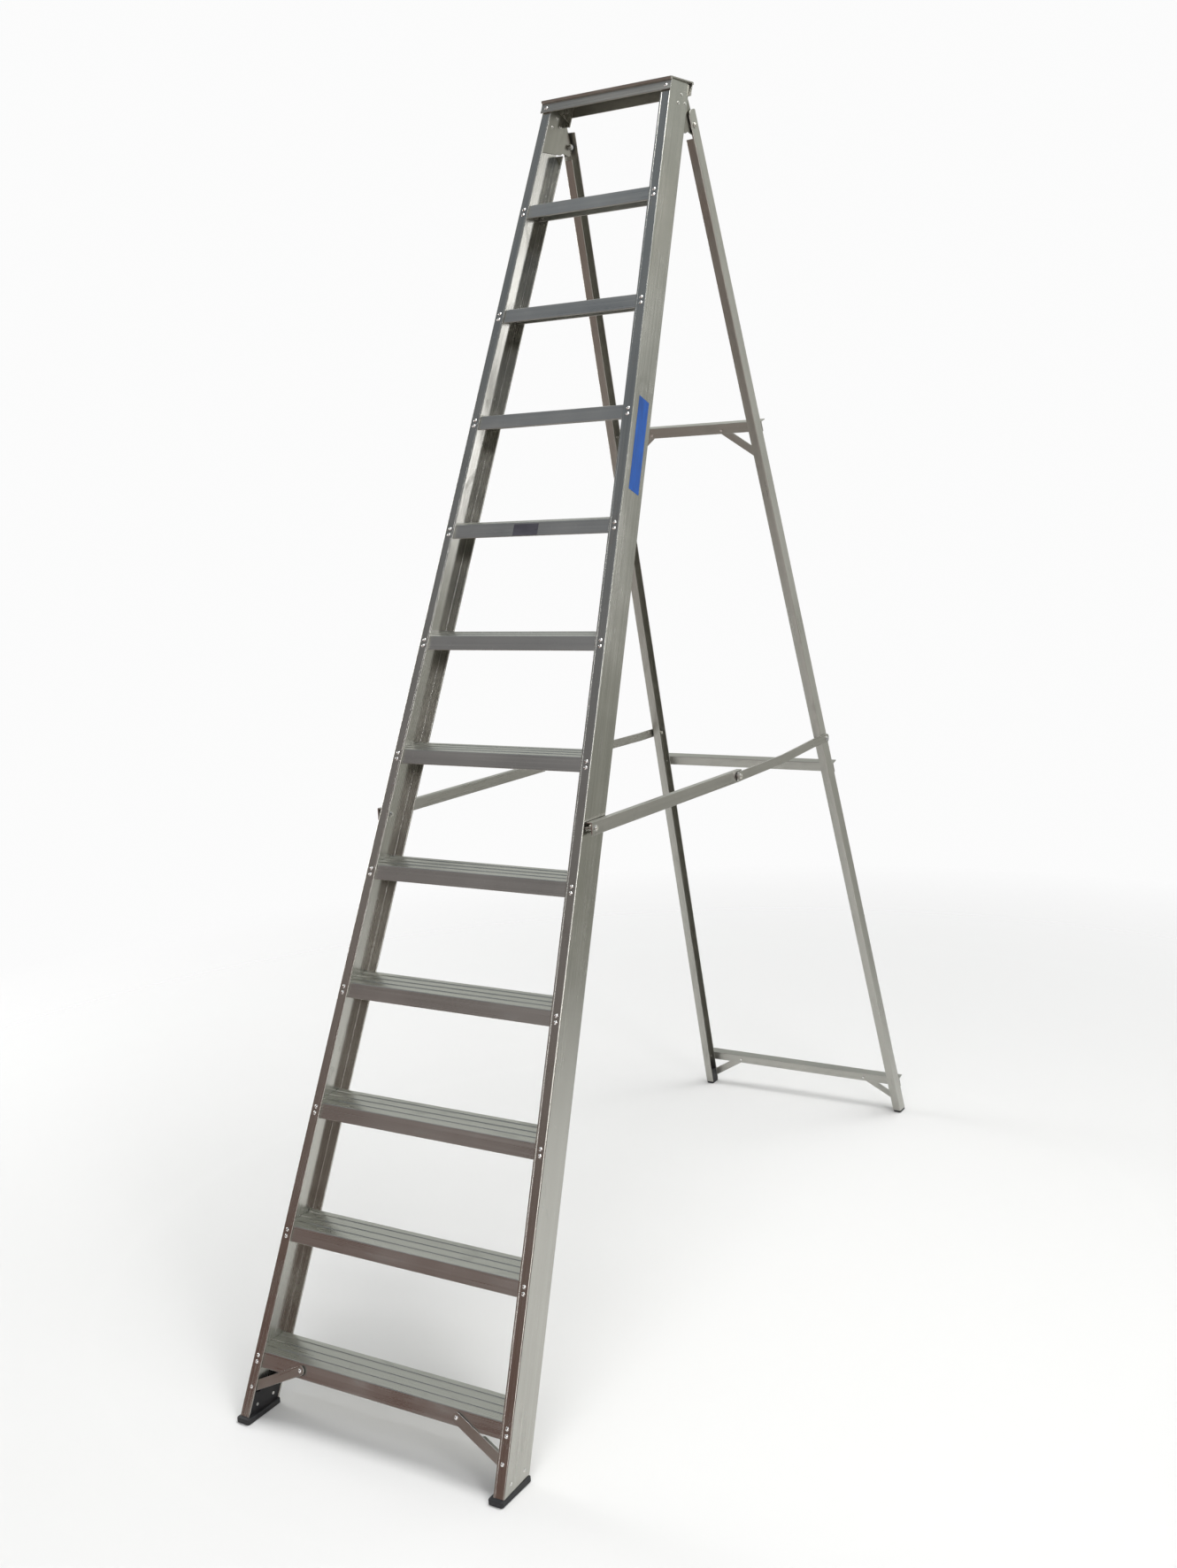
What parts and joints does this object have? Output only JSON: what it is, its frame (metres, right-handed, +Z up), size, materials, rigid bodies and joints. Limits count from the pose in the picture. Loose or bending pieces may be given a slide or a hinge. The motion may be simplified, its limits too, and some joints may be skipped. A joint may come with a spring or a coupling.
{
  "type": "swing-back step ladder",
  "caption": "Tall aluminium swing-back step ladder with flat ribbed treads, a top cap, a hinged rear frame, folding side stays and rubber feet.",
  "frame": {"origin": "on the floor at the centre of the open ladder's footprint", "axes": "+Z up, +X to the right seen from the climber's side, -Y towards the climber"},
  "size_m": [0.6772, 2.1118, 2.76],
  "materials": {
    "stile_alloy": "mill-finish extrusion, satin with fine lengthwise die lines",
    "tread_alloy": "mill-finish extrusion, ribbed upper face",
    "cap_alloy": "mill-finish extrusion",
    "frame_alloy": "mill-finish extrusion, a little duller than the stiles",
    "stay_alloy": "mill-finish angle and flat bar",
    "plate_alloy": "flat sheet, brushed",
    "rivet_alloy": "polished dome heads",
    "plated_steel": "bright zinc plate",
    "rubber_black": "moulded, matt",
    "label_blue": "printed film, satin",
    "label_grey": "printed film, satin"
  },
  "bodies": {
    "front_section": {"stile_left": "stile_alloy", "stile_right": "stile_alloy", "tread_01": "tread_alloy", "tread_02": "tread_alloy", "tread_03": "tread_alloy", "tread_04": "tread_alloy", "tread_05": "tread_alloy", "tread_06": "tread_alloy", "tread_07": "tread_alloy", "tread_08": "tread_alloy", "tread_09": "tread_alloy", "tread_10": "tread_alloy", "tread_11": "tread_alloy", "top_cap": "cap_alloy", "hinge_bracket_left": "plate_alloy", "front_foot_left": "rubber_black", "tread_brace_left": "plate_alloy", "hinge_bracket_right": "plate_alloy", "front_foot_right": "rubber_black", "tread_brace_right": "plate_alloy", "tread_rivets_front": "rivet_alloy", "tread_rivets_rear": "rivet_alloy", "cap_rivets": "rivet_alloy", "bracket_rivets": "rivet_alloy", "front_foot_rivets": "rivet_alloy", "tread_brace_rivets": "rivet_alloy", "side_label": "label_blue", "rating_label": "label_grey", "hinge_bolts": "plated_steel", "hinge_nuts": "plated_steel", "hinge_washers": "plated_steel", "stay_front_bolts": "plated_steel", "stay_front_spacers": "plated_steel", "stay_front_nuts": "plated_steel"},
    "rear_frame": {"rear_leg_left": "frame_alloy", "rear_leg_right": "frame_alloy", "upper_cross_brace": "frame_alloy", "middle_cross_brace": "frame_alloy", "lower_cross_brace": "frame_alloy", "corner_brace_upper_left": "frame_alloy", "corner_brace_upper_right": "frame_alloy", "corner_brace_lower_left": "frame_alloy", "corner_brace_lower_right": "frame_alloy", "rear_foot_left": "rubber_black", "rear_foot_right": "rubber_black", "rear_brace_rivets": "rivet_alloy", "stay_rear_bolts": "plated_steel", "stay_rear_washers": "plated_steel", "stay_rear_nuts": "plated_steel"},
    "stay_front_right": {"stay_front_link_right": "stay_alloy", "elbow_nut_right": "plated_steel"},
    "stay_front_left": {"stay_front_link_left": "stay_alloy", "elbow_nut_left": "plated_steel"},
    "stay_rear_right": {"stay_rear_link_right": "stay_alloy", "elbow_bolt_right": "plated_steel"},
    "stay_rear_left": {"stay_rear_link_left": "stay_alloy", "elbow_bolt_left": "plated_steel"}
  },
  "joints": [
    {"name": "rear_frame_fold", "type": "hinge", "parent": "front_section", "child": "rear_frame", "pos_m": [0, 0.32344, 2.66458], "axis": [-1, 0, 0], "range_deg": [0, 38]},
    {"name": "stay_front_right_swing", "type": "hinge", "parent": "front_section", "child": "stay_front_right", "pos_m": [0.2787, -0.47048, 1.18443], "axis": [1, 0, 0], "range_deg": [0, 66.9]},
    {"name": "stay_rear_right_swing", "type": "hinge", "parent": "rear_frame", "child": "stay_rear_right", "pos_m": [0.2616, 0.72936, 1.1574], "axis": [-1, 0, 0], "range_deg": [0, 61.09]},
    {"name": "stay_front_left_swing", "type": "hinge", "parent": "front_section", "child": "stay_front_left", "pos_m": [-0.2787, -0.47048, 1.18443], "axis": [1, 0, 0], "range_deg": [0, 66.9]},
    {"name": "stay_rear_left_swing", "type": "hinge", "parent": "rear_frame", "child": "stay_rear_left", "pos_m": [-0.2616, 0.72936, 1.1574], "axis": [-1, 0, 0], "range_deg": [0, 61.09]}
  ],
  "couplings": [
    {"joint": "stay_front_right_swing", "follows": "rear_frame_fold", "ratio": 1.7499},
    {"joint": "stay_rear_right_swing", "follows": "rear_frame_fold", "ratio": 1.597},
    {"joint": "stay_front_left_swing", "follows": "rear_frame_fold", "ratio": 1.7499},
    {"joint": "stay_rear_left_swing", "follows": "rear_frame_fold", "ratio": 1.597}
  ]
}
